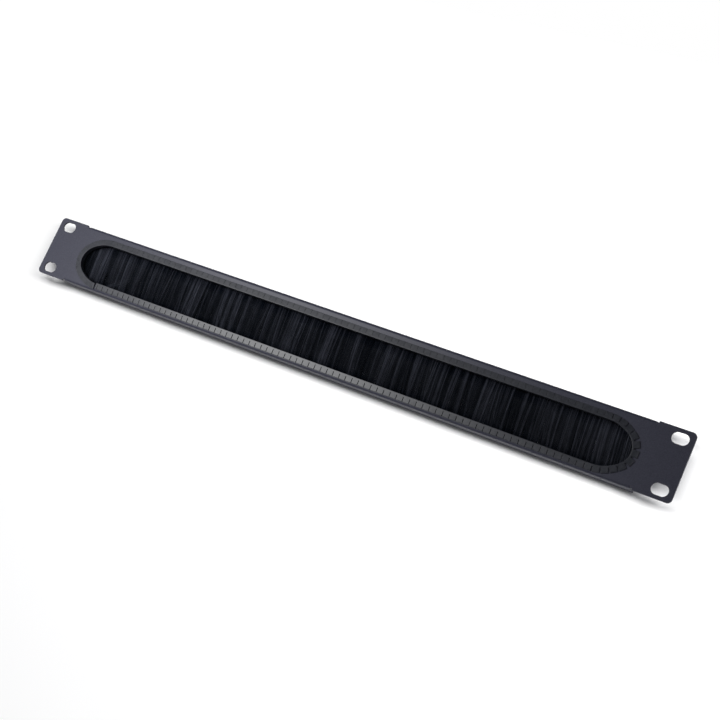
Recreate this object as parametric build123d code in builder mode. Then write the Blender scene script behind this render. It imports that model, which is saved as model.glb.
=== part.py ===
from build123d import *
import os
from math import atan2, degrees

# Rack brush strip panel, one rack unit high. Cables pass through its long opening between bristles.
# Millimetres. X runs across the rack, Y runs into it and Z is up. The origin is the centre of the
# four mounting slots, on the back face of the ears, where they meet the rack's rails.

# One overrun serves every cut that passes a face
overrun = 1.0

# Faceplate: one folded steel sheet
mounting_spacing_x = 465.1
mounting_spacing_z = 31.75
slot_end_margin = 8.75  # centre of a slot to the panel's end
slot_edge_margin = 5.925  # centre of a slot to the panel's upper or lower edge
slot_length = 10.6
slot_width = 7.1
sheet = 1.5
corner_radius = 3.0
ear_width = 25.0  # panel's end to the flange's end
flange_depth = 10.8  # front face to the flange's rear edge
flange_step = 0.45  # the ears stand this far past the flanges
bend_inner_radius = 0.4
relief_width = 1.5
relief_depth = 1.0

# Opening: its ends are a tip arc between two wider flank arcs
cutout_margin = 5.55  # flange's end to the cut-out's end
end_reach_share = 1.356  # length of a rounded end, as a share of half the cut-out's height
tip_radius_share = 0.784  # radius of the tip arc, as a share of half the cut-out's height

# Edge grommet: a slotted strip of U section, pushed over the cut-out's edge
web_thickness = 1.2
web_clearance = 0.1
lip_thickness = 1.0
lip_clearance = 0.05
front_lip_reach = 3.05  # from the cut-out's edge over the sheet
back_lip_reach = 2.7
back_lip_gap = 0.12  # back lip to the start of the lower bend
lip_chamfer = 0.35
tooth_pitch = 4.72
tooth_gap = 0.85
tooth_root = 0.15  # the gaps stop this far outside the web
tooth_phase_share = 0.23  # place of the first tooth along the strip, as a share of the pitch
joint_gap = 0.9
joint_slant = 14.0  # degrees
joint_to_end = 22.1  # the joint lies this far from the cut-out's left end

# Brush holder: an extruded rail under the top flange
holder_wall = 0.7
holder_lip_height = 0.5
holder_lip_reach = 0.4
holder_gap = 0.3  # back lip to the holder
holder_cover = 0.73  # the opening's top edge hangs this far below the holder
brush_margin = 2.3  # flange's end to the brush's end

# Brush strip: bristles folded round a wire and clamped in a rolled channel
channel_width = 3.3
channel_height = 3.4
channel_wall = 0.5
channel_round = 0.8
channel_clearance = 0.05
crimp_height = 0.5
crimp_reach = 0.15
wire_diameter = 0.9
bristle_clearance = 0.03
curtain_thickness = 2.7
curtain_flare_height = 9.0
tips_below_opening = 2.3
tuft_pitch = 3.6
ridge_depth = 0.42
tip_notch = 1.6
tuft_width_shares = (1.10, 0.82, 1.26, 0.94, 0.72, 1.18, 0.98)
tuft_ridge_shares = (0.0, 0.45, 0.15, 0.8, 0.3)
tuft_trim_shares = (0.0, 0.3, 0.1, 0.5, 0.2, 0.0, 0.4, 0.15, 0.6, 0.05, 0.25)

# Countersunk screws that hold the rail to the top flange
screw_count = 5
screw_length = 4.0
screw_diameter = 2.5
screw_head_diameter = 4.7
screw_clearance = 0.05
screw_end_margin = 14.0  # brush's end to the nearest screw
recess_span = 2.6
recess_width = 0.6
recess_depth = 0.9

# Places that follow from the sizes above
panel_width = mounting_spacing_x + 2 * slot_end_margin
panel_height = mounting_spacing_z + 2 * slot_edge_margin
panel_top_z = panel_height / 2
front_y = -sheet
flange_length = panel_width - 2 * ear_width
flange_face_z = panel_top_z - flange_step
flange_inner_z = flange_face_z - sheet
bend_outer_radius = bend_inner_radius + sheet
bend_line_z = flange_face_z - bend_outer_radius
bend_centre_y = front_y + bend_outer_radius
flange_rear_y = front_y + flange_depth

slot_height = channel_height + 2 * channel_clearance
holder_top_wall = screw_length - sheet
holder_width = channel_width + 2 * channel_clearance + 2 * holder_wall
holder_height = holder_top_wall + slot_height + holder_lip_height
holder_front_y = lip_clearance + lip_thickness + holder_gap
holder_bottom_z = flange_inner_z - holder_height
brush_y = holder_front_y + holder_width / 2
brush_length = flange_length - 2 * brush_margin

opening_top_z = holder_bottom_z - holder_cover
cutout_top_z = opening_top_z + web_thickness + web_clearance
cutout_bottom_z = back_lip_reach + back_lip_gap - bend_line_z
opening_bottom_z = cutout_bottom_z + web_thickness + web_clearance
cutout_half_height = (cutout_top_z - cutout_bottom_z) / 2
cutout_z = (cutout_top_z + cutout_bottom_z) / 2
cutout_half_width = flange_length / 2 - cutout_margin
end_reach = end_reach_share * cutout_half_height
tip_radius = tip_radius_share * cutout_half_height
flank_radius = ((end_reach - tip_radius) ** 2 + cutout_half_height**2 - tip_radius**2) / (
    2 * (cutout_half_height - tip_radius)
)
flank_x = cutout_half_width - end_reach
flank_turn = degrees(atan2(flank_radius - cutout_half_height, end_reach - tip_radius))

channel_top_z = flange_inner_z - holder_top_wall - channel_clearance
channel_bottom_z = channel_top_z - channel_height
fold_radius = channel_width / 2 - channel_wall - bristle_clearance
fold_z = channel_top_z - channel_wall - bristle_clearance - fold_radius
throat_half = fold_radius - crimp_reach
tips_z = opening_bottom_z - tips_below_opening
curtain_half = curtain_thickness / 2

screw_pitch = (brush_length - 2 * screw_end_margin) / (screw_count - 1)
screw_places = [
    Location(((step - (screw_count - 1) / 2) * screw_pitch, brush_y, flange_face_z))
    for step in range(screw_count)
]


def opening_wire(growth):
    """Closed line round the opening, a distance of growth outside the cut-out, in the panel's plane."""
    half_height = cutout_half_height + growth
    tip = tip_radius + growth
    flank = flank_radius + growth
    tip_x = cutout_half_width + growth - tip
    drop = flank - half_height
    quarter = 90
    with BuildLine() as line:
        Line((-flank_x, cutout_z + half_height), (flank_x, cutout_z + half_height))
        CenterArc((flank_x, cutout_z - drop), flank, quarter, flank_turn - quarter)
        CenterArc((tip_x, cutout_z), tip, flank_turn, -2 * flank_turn)
        CenterArc((flank_x, cutout_z + drop), flank, -flank_turn, flank_turn - quarter)
        Line((flank_x, cutout_z - half_height), (-flank_x, cutout_z - half_height))
        CenterArc((-flank_x, cutout_z + drop), flank, -quarter, flank_turn - quarter)
        CenterArc((-tip_x, cutout_z), tip, 2 * quarter + flank_turn, -2 * flank_turn)
        CenterArc((-flank_x, cutout_z - drop), flank, 2 * quarter - flank_turn, flank_turn - quarter)
    return line.wire()


def standing_plane(y):
    """Plane that stands across the rack at a depth of y, with X across, Z up and its normal to the front."""
    return Plane.XZ.offset(-y)


# Faceplate
with BuildPart() as faceplate:
    with BuildSketch(standing_plane(0)) as face:
        Rectangle(panel_width, panel_height)
        fillet(face.vertices(), corner_radius)
        spare_height = panel_top_z - bend_line_z
        with GridLocations(0, 2 * bend_line_z + spare_height, 1, 2):
            Rectangle(flange_length, spare_height, mode=Mode.SUBTRACT)
        relief_x = flange_length + relief_width
        with GridLocations(relief_x, panel_height - relief_depth, 2, 2):
            Rectangle(relief_width, relief_depth, mode=Mode.SUBTRACT)
        with GridLocations(mounting_spacing_x, mounting_spacing_z, 2, 2):
            SlotOverall(slot_length, slot_width, mode=Mode.SUBTRACT)
        make_face(opening_wire(0), mode=Mode.SUBTRACT)
    extrude(amount=sheet)
    with BuildSketch(Plane.YZ) as flange:
        with BuildLine():
            Line((0, bend_line_z), (front_y, bend_line_z))
            CenterArc((bend_centre_y, bend_line_z), bend_outer_radius, 180, -90)
            Line((bend_centre_y, flange_face_z), (flange_rear_y, flange_face_z))
            Line((flange_rear_y, flange_face_z), (flange_rear_y, flange_inner_z))
            Line((flange_rear_y, flange_inner_z), (bend_centre_y, flange_inner_z))
            CenterArc((bend_centre_y, bend_line_z), bend_inner_radius, 90, 90)
        make_face()
        mirror(about=Plane.XZ)
    extrude(amount=flange_length / 2, both=True)
    with Locations(*screw_places):
        CounterSinkHole(
            screw_diameter / 2 + screw_clearance,
            screw_head_diameter / 2 + screw_clearance,
            depth=sheet + overrun,
            counter_sink_angle=90,
        )
faceplate.part.label = "faceplate"

# Edge grommet
back_lip_y = lip_clearance + lip_thickness
front_lip_y = front_y - lip_clearance - lip_thickness
groove_bottom = -web_clearance
web_inner = groove_bottom - web_thickness
tooth_line = opening_wire(groove_bottom - web_thickness / 2)
tooth_count = round(tooth_line.length / tooth_pitch)
tooth_half = (tooth_line.length / tooth_count - tooth_gap) / 2


def beside_tooth(number, along, outward):
    """Point in the panel's plane, along the web from a tooth's middle and outward from the web's middle."""
    place = (number + tooth_phase_share) / tooth_count % 1
    ahead = tooth_line % place
    outside = Vector(-ahead.Y, ahead.X)
    return (tooth_line @ place) + ahead * along + outside * outward


def tooth_gap_face(tooth):
    """Outline of the gap between a tooth and the next one, wider at its mouth where the strip bends."""
    root = web_thickness / 2 + tooth_root
    mouth = web_thickness / 2 + web_clearance + front_lip_reach + overrun
    corners = (
        beside_tooth(tooth, tooth_half, root),
        beside_tooth(tooth, tooth_half, mouth),
        beside_tooth(tooth + 1, -tooth_half, mouth),
        beside_tooth(tooth + 1, -tooth_half, root),
    )
    return Face(Wire.make_polygon(corners))


with BuildPart() as edge_grommet:
    with BuildSketch(standing_plane(back_lip_y)):
        make_face(opening_wire(back_lip_reach))
        make_face(opening_wire(web_inner), mode=Mode.SUBTRACT)
    extrude(amount=lip_thickness)
    with BuildSketch(standing_plane(lip_clearance)):
        make_face(opening_wire(groove_bottom))
        make_face(opening_wire(web_inner), mode=Mode.SUBTRACT)
    extrude(amount=sheet + 2 * lip_clearance)
    with BuildSketch(standing_plane(front_y - lip_clearance)):
        make_face(opening_wire(front_lip_reach))
        make_face(opening_wire(web_inner), mode=Mode.SUBTRACT)
    extrude(amount=lip_thickness)
    front_edges = edge_grommet.edges().group_by(Axis.Y)[0]
    back_edges = edge_grommet.edges().group_by(Axis.Y)[-1]
    chamfer(front_edges + back_edges, lip_chamfer)
    with BuildSketch(standing_plane(back_lip_y + overrun)):
        add([tooth_gap_face(tooth) for tooth in range(tooth_count)])
    extrude(amount=back_lip_y - front_lip_y + 2 * overrun, mode=Mode.SUBTRACT)
    strip_middle_z = opening_bottom_z - (web_thickness + front_lip_reach) / 2
    with BuildSketch(standing_plane(back_lip_y + overrun)):
        with Locations(Location((joint_to_end - cutout_half_width, strip_middle_z), joint_slant)):
            Rectangle(joint_gap, 2 * (web_thickness + front_lip_reach))
    extrude(amount=back_lip_y - front_lip_y + 2 * overrun, mode=Mode.SUBTRACT)
edge_grommet.part.label = "edge_grommet"

# Brush holder
with BuildPart() as brush_holder:
    slot_half = channel_width / 2 + channel_clearance
    slot_top_z = flange_inner_z - holder_top_wall
    slot_bottom_z = slot_top_z - slot_height
    with BuildSketch(Plane.YZ):
        with Locations((brush_y, flange_inner_z - holder_height / 2)):
            Rectangle(holder_width, holder_height)
        with Locations((brush_y, (slot_top_z + slot_bottom_z) / 2)):
            Rectangle(2 * slot_half, slot_height, mode=Mode.SUBTRACT)
        with Locations((brush_y, holder_bottom_z)):
            Rectangle(2 * (slot_half - holder_lip_reach), 2 * holder_lip_height, mode=Mode.SUBTRACT)
    extrude(amount=brush_length / 2, both=True)
    with Locations(*screw_places):
        Hole(screw_diameter / 2 + screw_clearance, depth=screw_length + channel_clearance)
brush_holder.part.label = "brush_holder"

# Brush channel
with BuildPart() as brush_channel:
    channel_half = channel_width / 2
    with BuildSketch(Plane.YZ) as channel:
        with Locations((brush_y, channel_top_z - channel_height / 2)):
            Rectangle(channel_width, channel_height)
        fillet(channel.vertices().group_by(Axis.Y)[-1], channel_round)
        inner_half = channel_half - channel_wall
        inner_height = channel_height - channel_wall - crimp_height
        with Locations((brush_y, channel_bottom_z + crimp_height + inner_height / 2)):
            Rectangle(2 * inner_half, inner_height, mode=Mode.SUBTRACT)
        with Locations((brush_y, channel_bottom_z)):
            Rectangle(2 * (inner_half - crimp_reach), 2 * crimp_height, mode=Mode.SUBTRACT)
    extrude(amount=brush_length / 2, both=True)
brush_channel.part.label = "brush_channel"

# Core wire
with BuildPart() as core_wire:
    with BuildSketch(Plane.YZ):
        with Locations((brush_y, fold_z)):
            Circle(wire_diameter / 2)
    extrude(amount=brush_length / 2, both=True)
core_wire.part.label = "core_wire"

# Bristles: one curtain of tufts, folded over the wire
tuft_count = round(brush_length / tuft_pitch)
width_shares = [tuft_width_shares[tuft % len(tuft_width_shares)] for tuft in range(tuft_count)]
tuft_edges = [
    brush_length * (sum(width_shares[:tuft]) / sum(width_shares) - 1 / 2) for tuft in range(tuft_count + 1)
]


def tuft_middle(tuft):
    """Place of a tuft's middle along X."""
    return (tuft_edges[tuft] + tuft_edges[tuft + 1]) / 2


def ridge_half(tuft, side):
    """Half of the curtain's thickness at the ridge of a tuft, on its front (-1) or back (1) side."""
    share = tuft_ridge_shares[(tuft * (2 + side)) % len(tuft_ridge_shares)]
    return curtain_half - share * ridge_depth


def ridge_points(side):
    """Points from the left end to the right one along the ridges and valleys of one side, seen from above."""
    points = [(tuft_edges[0], brush_y + side * (curtain_half - ridge_depth))]
    for tuft in range(tuft_count):
        points.append((tuft_middle(tuft), brush_y + side * ridge_half(tuft, side)))
        points.append((tuft_edges[tuft + 1], brush_y + side * (curtain_half - ridge_depth)))
    return points


def tip_points():
    """Points from the left end to the right one along the trimmed tips, seen from the front."""
    points = [(tuft_edges[0], tips_z + tip_notch)]
    for tuft in range(tuft_count):
        trim = tuft_trim_shares[tuft % len(tuft_trim_shares)] * tip_notch
        points.append((tuft_middle(tuft), tips_z + trim))
        points.append((tuft_edges[tuft + 1], tips_z + tip_notch))
    return points


with BuildPart() as bristles:
    flare_z = channel_bottom_z - curtain_flare_height
    with BuildSketch(Plane.YZ):
        with BuildLine():
            Polyline(
                (brush_y - throat_half, fold_z),
                (brush_y - throat_half, channel_bottom_z),
                (brush_y - curtain_half, flare_z),
                (brush_y - curtain_half, tips_z),
                (brush_y + curtain_half, tips_z),
                (brush_y + curtain_half, flare_z),
                (brush_y + throat_half, channel_bottom_z),
                (brush_y + throat_half, fold_z),
                close=True,
            )
        make_face()
    extrude(amount=brush_length / 2, both=True)
    with BuildSketch(Plane.XY.offset(tips_z - overrun)):
        with BuildLine():
            Polyline(*ridge_points(-1), *reversed(ridge_points(1)), close=True)
        make_face()
    extrude(amount=fold_z - tips_z + 2 * overrun, mode=Mode.INTERSECT)
    with BuildSketch(standing_plane(brush_y)):
        with BuildLine():
            Polyline(
                *tip_points(),
                (brush_length / 2, fold_z + overrun),
                (-brush_length / 2, fold_z + overrun),
                close=True,
            )
        make_face()
    extrude(amount=curtain_thickness, both=True, mode=Mode.INTERSECT)
    with BuildSketch(Plane.YZ):
        with Locations((brush_y, fold_z)):
            Circle(fold_radius)
        fold_foot_z = channel_bottom_z + crimp_height + bristle_clearance
        with Locations((brush_y, (fold_z + fold_foot_z) / 2)):
            Rectangle(2 * fold_radius, fold_z - fold_foot_z)
    extrude(amount=brush_length / 2, both=True)
    with BuildSketch(Plane.YZ):
        with Locations((brush_y, fold_z)):
            Circle(wire_diameter / 2 + bristle_clearance)
    extrude(amount=brush_length / 2, both=True, mode=Mode.SUBTRACT)
bristles.part.label = "bristles"

# Holder screws
with BuildPart() as screw:
    head_radius = screw_head_diameter / 2
    shank_radius = screw_diameter / 2
    head_depth = head_radius - shank_radius
    with BuildSketch(Plane.XZ):
        with BuildLine():
            Polyline(
                (0, 0),
                (head_radius, 0),
                (shank_radius, -head_depth),
                (shank_radius, -screw_length),
                (0, -screw_length),
                close=True,
            )
        make_face()
    revolve(axis=Axis.Z)
    with BuildSketch():
        Rectangle(recess_span, recess_width)
        Rectangle(recess_width, recess_span)
    extrude(amount=-recess_depth, mode=Mode.SUBTRACT)

with BuildPart() as holder_screws:
    with Locations(*screw_places):
        add(screw.part)
holder_screws.part.label = "holder_screws"

os.makedirs("parts", exist_ok=True)
for piece in (faceplate, edge_grommet, brush_holder, brush_channel, core_wire, bristles, holder_screws):
    export_step(piece.part, f"parts/{piece.part.label}.step")
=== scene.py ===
"""Dressed model of a one-unit rack brush strip panel.

A folded, powder-coated sheet has a long rounded opening. A slotted nylon edging strip is pushed over the
opening's edge, and a clamped row of black bristles hangs behind it in an aluminium rail. Pieces are shaped in
millimetres and scaled down to metres when they are settled. X runs across the rack to the right seen from the
front, Y runs into the rack and Z is up.
"""

from __future__ import annotations

import logging
import math
from collections.abc import Callable, Iterator
from contextlib import contextmanager
from dataclasses import dataclass
from enum import Enum

import bmesh
import bpy
import numpy as np
from mathutils import Matrix, Vector

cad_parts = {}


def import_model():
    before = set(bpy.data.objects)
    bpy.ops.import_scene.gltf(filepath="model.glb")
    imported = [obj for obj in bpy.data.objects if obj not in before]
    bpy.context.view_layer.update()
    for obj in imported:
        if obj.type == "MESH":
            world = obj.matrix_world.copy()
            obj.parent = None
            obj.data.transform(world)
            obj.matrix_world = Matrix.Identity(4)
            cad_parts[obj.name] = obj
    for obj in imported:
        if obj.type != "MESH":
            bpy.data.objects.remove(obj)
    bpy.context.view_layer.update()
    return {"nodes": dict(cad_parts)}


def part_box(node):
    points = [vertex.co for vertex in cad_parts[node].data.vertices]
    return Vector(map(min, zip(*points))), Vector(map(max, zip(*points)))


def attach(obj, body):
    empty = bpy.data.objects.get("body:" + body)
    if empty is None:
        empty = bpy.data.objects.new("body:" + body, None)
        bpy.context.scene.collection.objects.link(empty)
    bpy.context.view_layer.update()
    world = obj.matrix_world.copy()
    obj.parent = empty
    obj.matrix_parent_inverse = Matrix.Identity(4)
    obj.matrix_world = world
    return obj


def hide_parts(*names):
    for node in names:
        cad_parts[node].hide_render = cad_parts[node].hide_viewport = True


MM = 0.001  # metres in a millimetre
TOUCH = 1e-3  # millimetres within which two places count as one
QUARTER = math.pi / 2
FACING = 0.5  # least part of a normal along an axis for its face to count as facing that way
SHEET = 1.5  # thickness of the folded sheet, in millimetres
BRUSH_Y = 3.75  # middle of the brush and of its rail's screws along Y, in millimetres
BRUSH_HALF = 214.0  # half the length of the brush and of its rail, in millimetres
BODY = "root"
LOG = logging.getLogger("brush_panel")

Place = tuple[float, float, float]
Pair = tuple[float, float]


class Element(Enum):
    """Kind of mesh element that a selection holds, as its select mode and its layer in a mesh."""

    EDGE = ("EDGE", "edges")
    FACE = ("FACE", "faces")


class Joining(Enum):
    """What a tool does to the piece that it meets."""

    CUT = "DIFFERENCE"
    WELD = "UNION"


class Edge(Enum):
    """Long edge of the panel, as the sign of its height."""

    UPPER = 1
    LOWER = -1


class Lip(Enum):
    """Lip of the edging strip, as the sign of its depth."""

    FRONT = -1
    BACK = 1


def take(item: bpy.types.Object) -> None:
    """Makes one object the only selected one, and the active one.

    Args:
        item: the object to work on.
    """
    bpy.ops.object.select_all(action="DESELECT")
    item.select_set(True)
    bpy.context.view_layer.objects.active = item


@contextmanager
def editing(item: bpy.types.Object) -> Iterator[bpy.types.Object]:
    """Holds an object in edit mode, with points as what is selected, for the length of a with block.

    Args:
        item: the object to edit.
    """
    take(item)
    bpy.ops.object.mode_set(mode="EDIT")
    bpy.ops.mesh.select_mode(type="VERT")
    yield item
    bpy.ops.object.mode_set(mode="OBJECT")


def pick(item: bpy.types.Object, element: Element, test: Callable[..., bool]) -> None:
    """Selects, in edit mode, the elements that pass a test and nothing else.

    Args:
        item: the object in edit mode.
        element: the kind of element to select.
        test: says whether one element is to be selected.
    """
    mode, layer = element.value
    bpy.ops.mesh.select_mode(type=mode)
    bpy.ops.mesh.select_all(action="DESELECT")
    shape = bmesh.from_edit_mesh(item.data)
    for part in getattr(shape, layer):
        if test(part):
            part.select_set(True)
    bmesh.update_edit_mesh(item.data)


def runs_through(edge: bmesh.types.BMEdge) -> bool:
    """Tells whether an edge runs along Y, through the sheet's thickness."""
    return abs(edge.verts[0].co.y - edge.verts[1].co.y) > TOUCH


def begin(primitive: Callable[..., object], **settings: object) -> bpy.types.Object:
    """Adds a primitive, alone selected and with its place, turn and size in its mesh.

    Args:
        primitive: the operator that adds it.
        settings: the operator's settings by name.

    Returns:
        The new object.
    """
    bpy.ops.object.select_all(action="DESELECT")
    primitive(**settings)
    bpy.ops.object.transform_apply(location=True, rotation=True, scale=True)
    return bpy.context.object


def block(name: str, low: Place, high: Place) -> bpy.types.Object:
    """Adds a block that spans two corners.

    Args:
        name: name of the new object.
        low: lowest corner, in millimetres for a piece and in metres for a card of the studio.
        high: highest corner, likewise.

    Returns:
        The new object.
    """
    middle = (Vector(low) + Vector(high)) / 2
    size = Vector(high) - Vector(low)
    item = begin(bpy.ops.mesh.primitive_cube_add, size=1, location=middle, scale=size)
    item.name = name
    return item


def finish_with(item: bpy.types.Object, kind: str, **settings: object) -> None:
    """Adds a modifier to an object and applies it.

    Args:
        item: the object to change.
        kind: the modifier's kind.
        settings: the modifier's settings by name.
    """
    take(item)
    modifier = item.modifiers.new(kind.lower(), kind)
    for name, value in settings.items():
        setattr(modifier, name, value)
    bpy.ops.object.modifier_apply(modifier=modifier.name)


def combine(item: bpy.types.Object, tool: bpy.types.Object, joining: Joining, solver: str = "EXACT") -> None:
    """Cuts a tool out of a piece, or welds it on, and removes the tool.

    Args:
        item: the piece that stays.
        tool: the object that is used up.
        joining: whether the tool cuts or is welded on.
        solver: the boolean solver.
    """
    finish_with(item, "BOOLEAN", operation=joining.value, object=tool, solver=solver)
    bpy.data.meshes.remove(tool.data)


def gather(pieces: list[bpy.types.Object], name: str) -> bpy.types.Object:
    """Joins several objects in one.

    Args:
        pieces: the objects to join, of which the first stays.
        name: name of the joined object.

    Returns:
        The joined object.
    """
    take(pieces[0])
    for piece in pieces:
        piece.select_set(True)
    bpy.ops.object.join()
    pieces[0].name = name
    return pieces[0]


def turn_outwards(item: bpy.types.Object) -> None:
    """Merges doubled points of a shape and turns its faces outwards.

    Args:
        item: the closed shape.
    """
    with editing(item):
        bpy.ops.mesh.select_all(action="SELECT")
        bpy.ops.mesh.remove_doubles(threshold=TOUCH)
        bpy.ops.mesh.normals_make_consistent(inside=False)


def soften(item: bpy.types.Object, width: float, segments: int = 2, sharp: float = 40.0) -> None:
    """Rounds the sharp edges of a piece.

    Args:
        item: the piece.
        width: width of the rounding, in millimetres.
        segments: steps across the rounding.
        sharp: least angle of an edge that is rounded, in degrees.
    """
    limit = math.radians(sharp)
    finish_with(
        item, "BEVEL", width=width, segments=segments, limit_method="ANGLE", angle_limit=limit,
        use_clamp_overlap=False, loop_slide=False,
    )


def smooth(item: bpy.types.Object, sharp: float = 40.0) -> None:
    """Smooths the shading of a piece up to an angle and keeps its flat faces flat.

    Args:
        item: the piece.
        sharp: least angle that stays sharp, in degrees.
    """
    take(item)
    bpy.ops.object.shade_smooth_by_angle(angle=math.radians(sharp))
    finish_with(item, "WEIGHTED_NORMAL", keep_sharp=True)


def settle(
    item: bpy.types.Object, material: bpy.types.Material, replaced: tuple[str, ...] = ()
) -> None:
    """Scales a finished piece to metres, dresses it and hands it to the frame.

    Args:
        item: the finished piece, in millimetres.
        material: its finish.
        replaced: names of the frame's nodes that the piece stands for.
    """
    take(item)
    bpy.ops.object.transform_apply(location=True, rotation=True, scale=True)
    item.scale = (MM, MM, MM)
    bpy.ops.object.transform_apply(location=True, rotation=True, scale=True)
    item.data.name = item.name
    item.data.materials.clear()
    item.data.materials.append(material)
    if replaced:
        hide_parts(*replaced)
    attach(item, BODY)
    LOG.info("%s: %d faces", item.name, len(item.data.polygons))


class Shader:
    """Node tree of one finish, with a short call for each kind of node that the finishes use."""

    def __init__(self, name: str) -> None:
        """Starts a material with a lone principled shader.

        Args:
            name: the material's name.
        """
        self.material = bpy.data.materials.new(name)
        self.material.use_nodes = True
        self.tree = self.material.node_tree
        self.surface = self.tree.nodes["Principled BSDF"]
        self.coordinates = self.tree.nodes.new("ShaderNodeTexCoord").outputs["Object"]

    def set(self, **values: object) -> None:
        """Sets values on the shader's own sockets, with underscores for spaces in their names."""
        for name, value in values.items():
            self.surface.inputs[name.replace("_", " ")].default_value = value

    def feed(self, socket: str, output: bpy.types.NodeSocket) -> None:
        """Links an output to a socket of the shader."""
        self.tree.links.new(output, self.surface.inputs[socket])

    def in_millimetres(self, stretch: Place = (1, 1, 1)) -> bpy.types.NodeSocket:
        """Gives object coordinates in millimetres.

        Args:
            stretch: how many times longer a pattern gets along each axis.

        Returns:
            The coordinates.
        """
        mapping = self.tree.nodes.new("ShaderNodeMapping")
        mapping.inputs["Scale"].default_value = tuple(1 / (MM * share) for share in stretch)
        self.tree.links.new(self.coordinates, mapping.inputs["Vector"])
        return mapping.outputs["Vector"]

    def noise(
        self, size: float, detail: float = 2.0, roughness: float = 0.5, stretch: Place = (1, 1, 1)
    ) -> bpy.types.NodeSocket:
        """Gives a noise pattern.

        Args:
            size: width of one mottle, in millimetres.
            detail: octaves of finer noise.
            roughness: weight of the finer noise.
            stretch: how many times longer the mottles are along each axis.

        Returns:
            The pattern, around a half.
        """
        node = self.tree.nodes.new("ShaderNodeTexNoise")
        node.inputs["Scale"].default_value = 1 / size
        node.inputs["Detail"].default_value = detail
        node.inputs["Roughness"].default_value = roughness
        self.tree.links.new(self.in_millimetres(stretch), node.inputs["Vector"])
        return node.outputs["Fac"]

    def attribute(self, name: str) -> bpy.types.NodeSocket:
        """Gives a number that the mesh stores at each point.

        Args:
            name: the attribute's name.

        Returns:
            The number.
        """
        node = self.tree.nodes.new("ShaderNodeAttribute")
        node.attribute_name = name
        return node.outputs["Fac"]

    def ramp(self, factor: bpy.types.NodeSocket, stops: list[tuple[float, object]]) -> bpy.types.NodeSocket:
        """Turns a number into a colour.

        Args:
            factor: the number.
            stops: places along the ramp, each with a colour or a grey value.

        Returns:
            The colour.
        """
        node = self.tree.nodes.new("ShaderNodeValToRGB")
        points = node.color_ramp.elements
        while len(points) < len(stops):
            points.new(1.0)
        for point, (place, value) in zip(points, stops):
            colour = (value,) * 3 if isinstance(value, (int, float)) else value
            point.position = place
            point.color = (*colour, 1.0)
        self.tree.links.new(factor, node.inputs["Fac"])
        return node.outputs["Color"]

    def spread(self, factor: bpy.types.NodeSocket, low: float, high: float) -> bpy.types.NodeSocket:
        """Maps a number from between 0 and 1 to between two values.

        Args:
            factor: the number.
            low: its value at 0.
            high: its value at 1.

        Returns:
            The mapped number.
        """
        node = self.tree.nodes.new("ShaderNodeMapRange")
        node.inputs["To Min"].default_value = low
        node.inputs["To Max"].default_value = high
        self.tree.links.new(factor, node.inputs["Value"])
        return node.outputs["Result"]

    def bump(
        self, height: bpy.types.NodeSocket, distance: float, below: bpy.types.NodeSocket | None = None
    ) -> bpy.types.NodeSocket:
        """Turns a height pattern into a normal and feeds it to the shader.

        Args:
            height: the pattern.
            distance: height from its darkest to its lightest place, in millimetres.
            below: the normal of a coarser bump under this one.

        Returns:
            The normal.
        """
        node = self.tree.nodes.new("ShaderNodeBump")
        node.inputs["Strength"].default_value = 1.0
        node.inputs["Distance"].default_value = distance * MM
        self.tree.links.new(height, node.inputs["Height"])
        if below is not None:
            self.tree.links.new(below, node.inputs["Normal"])
        self.feed("Normal", node.outputs["Normal"])
        return node.outputs["Normal"]


@dataclass(frozen=True)
class PowderCoat:
    """Charcoal powder coat with a fine sand texture and a faint orange peel under it."""

    dark: Place = (0.031, 0.032, 0.049)
    light: Place = (0.045, 0.046, 0.067)
    grain: float = 0.55
    grain_height: float = 0.022
    peel: float = 3.2
    peel_height: float = 0.012
    gloss: float = 0.27
    roughness: Pair = (0.32, 0.44)

    def build(self) -> bpy.types.Material:
        """Builds the finish.

        Returns:
            The material.
        """
        shader = Shader("charcoal_powder_coat")
        grain = shader.noise(self.grain, detail=3.0, roughness=0.6)
        shader.feed("Base Color", shader.ramp(grain, [(0.35, self.dark), (0.65, self.light)]))
        shader.set(Specular_IOR_Level=self.gloss)
        shader.feed("Roughness", shader.spread(grain, *self.roughness))
        peel = shader.bump(shader.noise(self.peel, detail=1.0), self.peel_height)
        shader.bump(grain, self.grain_height, peel)
        return shader.material


@dataclass(frozen=True)
class MouldedNylon:
    """Black nylon edging with a soft sheen."""

    dark: Place = (0.016, 0.018, 0.024)
    light: Place = (0.028, 0.030, 0.039)
    mottle: float = 1.6
    skin: float = 0.25
    skin_height: float = 0.006
    gloss: float = 0.36
    roughness: Pair = (0.30, 0.42)

    def build(self) -> bpy.types.Material:
        """Builds the finish.

        Returns:
            The material.
        """
        shader = Shader("black_nylon")
        shader.set(Specular_IOR_Level=self.gloss)
        mottle = shader.noise(self.mottle, detail=3.0, roughness=0.6)
        shader.feed("Base Color", shader.ramp(mottle, [(0.3, self.dark), (0.7, self.light)]))
        shader.feed("Roughness", shader.spread(mottle, *self.roughness))
        shader.bump(shader.noise(self.skin), self.skin_height)
        return shader.material


@dataclass(frozen=True)
class Filament:
    """Fine black nylon bristle, painted paler where its tone is high, which stands for painted sheen on the
    tufts.
    """

    black: Place = (0.0011, 0.0028, 0.0063)
    pale: Place = (0.060, 0.065, 0.086)
    gloss: float = 0.06
    roughness: float = 0.42

    def build(self) -> bpy.types.Material:
        """Builds the finish.

        Returns:
            The material.
        """
        shader = Shader("black_bristle")
        shader.set(Roughness=self.roughness, Specular_IOR_Level=self.gloss)
        tone = shader.attribute("tone")
        # Painted sheen: the ramp's pale end stands for light caught by the tufts, not a paler dye
        shader.feed("Base Color", shader.ramp(tone, [(0.0, self.black), (1.0, self.pale)]))
        return shader.material


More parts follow.
